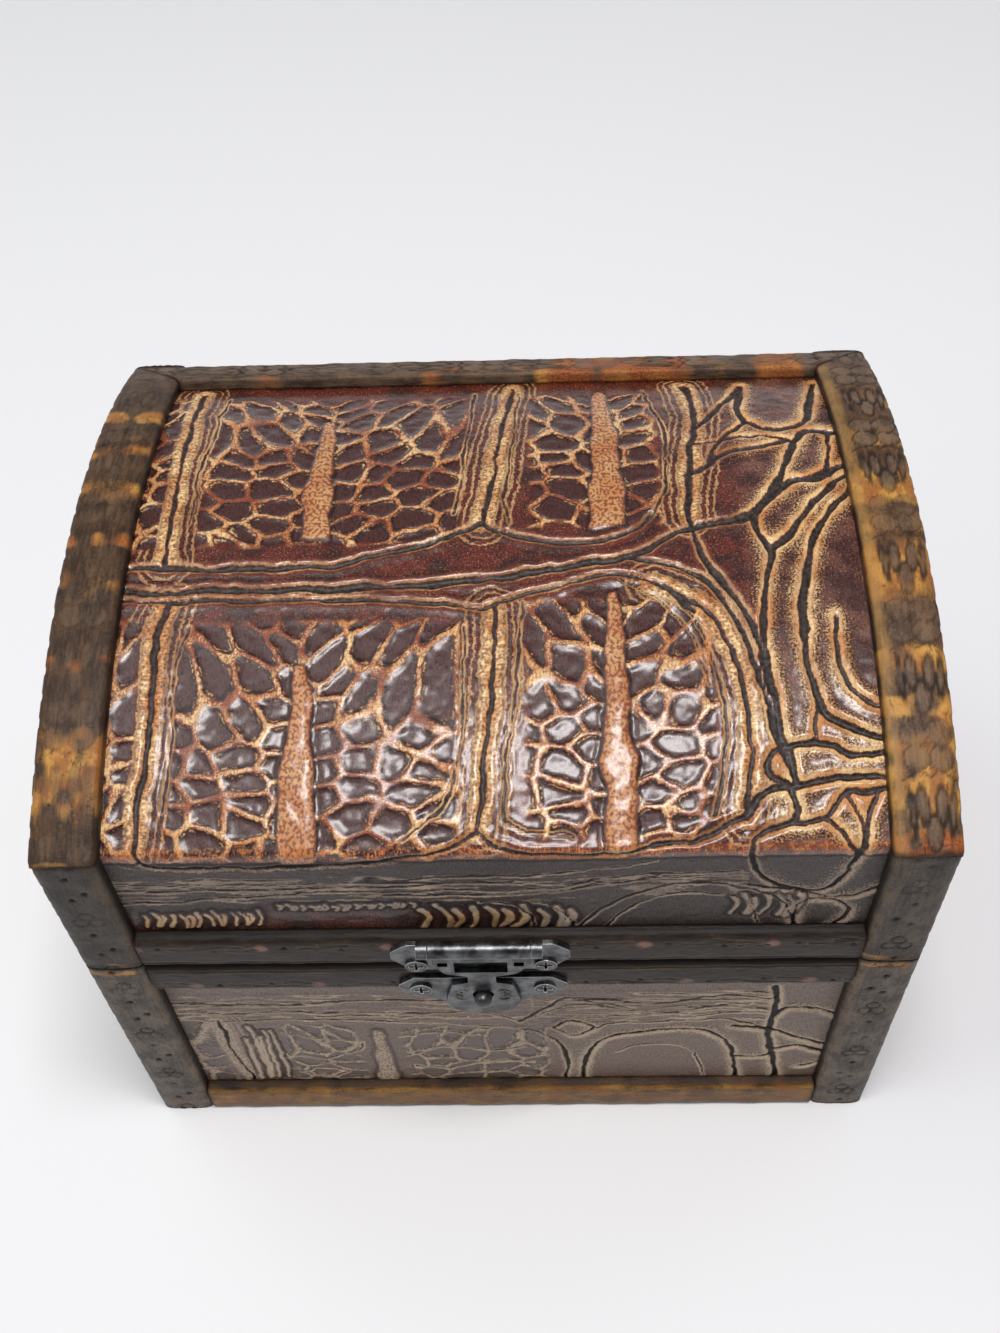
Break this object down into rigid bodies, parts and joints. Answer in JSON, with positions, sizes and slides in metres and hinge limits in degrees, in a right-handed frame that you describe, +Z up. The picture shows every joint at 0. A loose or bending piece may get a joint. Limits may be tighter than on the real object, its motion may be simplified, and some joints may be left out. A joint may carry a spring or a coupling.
{
  "type": "jewelry chest",
  "caption": "Small domed chest of leather-covered boards edged with carved wooden strips, with a hinged lid and a swinging hasp on a stud.",
  "frame": {"origin": "middle of the footprint of the closed box, on the surface that it stands on", "axes": "+Z up, the latch side faces -Y, +X to the right when facing the latch"},
  "size_m": [0.165, 0.1379, 0.1316],
  "materials": {
    "embossed_leather": "Embossed reptile pattern, glossy dark maroon plates with tan rims and dark grooves",
    "strip_wood": "Dark stained carved strip, worn to ochre in places",
    "board_wood": "Plain thin board, hidden under the leather and the lining",
    "lining_felt": "Dark red felt",
    "latch_steel": "Dark gunmetal plated stamped steel",
    "screw_steel": "Dark plated steel"
  },
  "bodies": {
    "base": {"base_back_foot_strip": "strip_wood", "base_back_leather": "embossed_leather", "base_back_left_corner_strip": "strip_wood", "base_back_panel": "board_wood", "base_back_right_corner_strip": "strip_wood", "base_back_rim_strip": "strip_wood", "base_floor": "board_wood", "base_front_foot_strip": "strip_wood", "base_front_leather": "embossed_leather", "base_front_left_corner_strip": "strip_wood", "base_front_panel": "board_wood", "base_front_right_corner_strip": "strip_wood", "base_front_rim_strip": "strip_wood", "base_left_end_foot_strip": "strip_wood", "base_left_end_leather": "embossed_leather", "base_left_end_panel": "board_wood", "base_left_end_rim_strip": "strip_wood", "base_left_end_upright_strips": "strip_wood", "base_lining": "lining_felt", "base_right_end_foot_strip": "strip_wood", "base_right_end_leather": "embossed_leather", "base_right_end_panel": "board_wood", "base_right_end_rim_strip": "strip_wood", "base_right_end_upright_strips": "strip_wood", "hinge_base_screws": "screw_steel", "hinge_left_base_leaf": "latch_steel", "hinge_pins": "screw_steel", "hinge_right_base_leaf": "latch_steel", "latch_lower_plate": "latch_steel", "latch_lower_screws": "screw_steel", "latch_stud": "latch_steel"},
    "lid": {"hasp_pin": "screw_steel", "hinge_left_lid_leaf": "latch_steel", "hinge_lid_screws": "screw_steel", "hinge_right_lid_leaf": "latch_steel", "latch_upper_plate": "latch_steel", "latch_upper_screws": "screw_steel", "lid_back_left_corner_strip": "strip_wood", "lid_back_lip_strip": "strip_wood", "lid_back_panel": "board_wood", "lid_back_ridge_strip": "strip_wood", "lid_back_right_corner_strip": "strip_wood", "lid_dome_board": "board_wood", "lid_dome_leather": "embossed_leather", "lid_dome_left_strip": "strip_wood", "lid_dome_right_strip": "strip_wood", "lid_front_left_corner_strip": "strip_wood", "lid_front_lip_strip": "strip_wood", "lid_front_panel": "board_wood", "lid_front_right_corner_strip": "strip_wood", "lid_left_end_arch_strip": "strip_wood", "lid_left_end_leather": "embossed_leather", "lid_left_end_lip_strip": "strip_wood", "lid_left_end_panel": "board_wood", "lid_lining": "lining_felt", "lid_right_end_arch_strip": "strip_wood", "lid_right_end_leather": "embossed_leather", "lid_right_end_lip_strip": "strip_wood", "lid_right_end_panel": "board_wood"},
    "hasp": {"hasp": "latch_steel"}
  },
  "joints": [
    {"name": "lid_hinge", "type": "hinge", "parent": "base", "child": "lid", "pos_m": [0, 0.06655, 0.0753], "axis": [-1, 0, 0], "range_deg": [0, 110]},
    {"name": "hasp_swing", "type": "hinge", "parent": "lid", "child": "hasp", "pos_m": [-0.0035, -0.067, 0.0863], "axis": [-1, 0, 0], "range_deg": [0, 170]}
  ]
}
